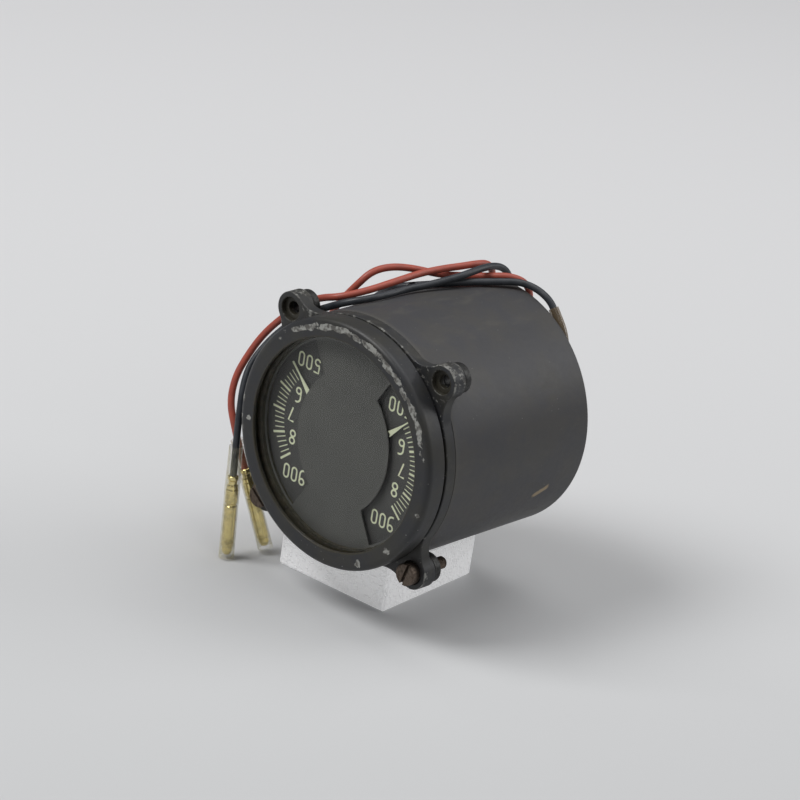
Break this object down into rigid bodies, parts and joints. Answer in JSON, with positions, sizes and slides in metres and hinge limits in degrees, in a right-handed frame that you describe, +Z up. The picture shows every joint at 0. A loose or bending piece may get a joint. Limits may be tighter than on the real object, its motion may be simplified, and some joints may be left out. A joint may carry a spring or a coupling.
{
  "type": "exhaust gas temperature gauge",
  "caption": "Round panel gauge with a double scale, two pointers behind a mask, a lugged mounting flange, a plain case and free leads with plugs.",
  "frame": {"origin": "centre of the four mounting lugs on their front (seating) face", "axes": "+X to the right seen from the front, +Y from the glass into the case, +Z up as the gauge lies (its numerals are upside down in this attitude)"},
  "size_m": [0.0948, 0.0819, 0.1013],
  "materials": {
    "black_enamel": "satin black enamel, worn to bare metal on edges",
    "case_enamel": "semi-matt grey-black enamel",
    "dial_black": "matt black paint with cream luminous markings",
    "mask_grey": "matt dark grey paint",
    "window_glass": "clear flat glass",
    "gasket_rubber": "black rubber",
    "pointer_white": "thin sheet, cream luminous paint",
    "steel": "plain steel",
    "dark_steel": "browned steel",
    "magnet_steel": "cast magnet alloy",
    "aluminium": "turned aluminium",
    "brass": "plain brass",
    "board_resin": "brown laminated resin board",
    "card_resin": "tan laminated resin board",
    "coil_copper": "copper wire on a former",
    "wire_red": "red insulated wire",
    "wire_black": "blue-black insulated wire",
    "sleeve_clear": "clear sleeve, yellowed",
    "guard_brown": "brown varnished sleeve"
  },
  "bodies": {
    "instrument": {"bezel_ring": "black_enamel", "bezel_snap_ring": "steel", "board_screws": "steel", "bridge_left": "brass", "bridge_right": "brass", "bridge_screws": "steel", "captive_nuts": "dark_steel", "case_screws": "steel", "case_shell": "case_enamel", "core_left": "steel", "core_pins": "brass", "core_right": "steel", "dial_distance_ring": "mask_grey", "dial_plate": "dial_black", "field_magnet_left": "magnet_steel", "field_magnet_right": "magnet_steel", "front_pillars": "brass", "front_plate": "aluminium", "glass_gasket": "gasket_rubber", "glass_spacer": "mask_grey", "glass_window": "window_glass", "hairspring_left": "brass", "hairspring_right": "brass", "jewel_screws": "brass", "lead_black_front": "wire_black", "lead_black_rear": "wire_black", "lead_guard": "guard_brown", "lead_red_front": "wire_red", "lead_red_rear": "wire_red", "magnet_screws": "steel", "mask_plate": "mask_grey", "middle_pillars": "brass", "middle_plate": "aluminium", "mounting_flange": "black_enamel", "mounting_screws": "dark_steel", "plate_screws": "steel", "plug_black_front": "brass", "plug_red_front": "brass", "plugs_rear": "brass", "rear_pillars": "brass", "resistor_card": "card_resin", "resistor_spools": "card_resin", "ring_tags": "brass", "screw_washers": "steel", "sleeve_black_front": "sleeve_clear", "sleeve_red_front": "sleeve_clear", "sleeves_rear": "sleeve_clear", "staff_bushes": "brass", "stud_nuts": "brass", "terminal_board": "board_resin", "terminal_studs": "brass"},
    "right_rotor": {"pointer_right": "pointer_white", "staff_right": "steel", "moving_coil_right": "coil_copper"},
    "left_rotor": {"pointer_left": "pointer_white", "staff_left": "steel", "moving_coil_left": "coil_copper"},
    "right_zero": {"zero_lever_right": "brass"},
    "left_zero": {"zero_lever_left": "brass"}
  },
  "joints": [
    {"name": "right_pointer_turn", "type": "hinge", "parent": "instrument", "child": "right_rotor", "pos_m": [0.0072, 0, 0], "axis": [0, 1, 0], "range_deg": [0, 88]},
    {"name": "left_pointer_turn", "type": "hinge", "parent": "instrument", "child": "left_rotor", "pos_m": [-0.0072, 0, 0], "axis": [0, -1, 0], "range_deg": [0, 88]},
    {"name": "right_zero_turn", "type": "hinge", "parent": "instrument", "child": "right_zero", "pos_m": [0.0072, 0, 0], "axis": [0, 1, 0], "range_deg": [-12, 12]},
    {"name": "left_zero_turn", "type": "hinge", "parent": "instrument", "child": "left_zero", "pos_m": [-0.0072, 0, 0], "axis": [0, 1, 0], "range_deg": [-12, 12]}
  ]
}
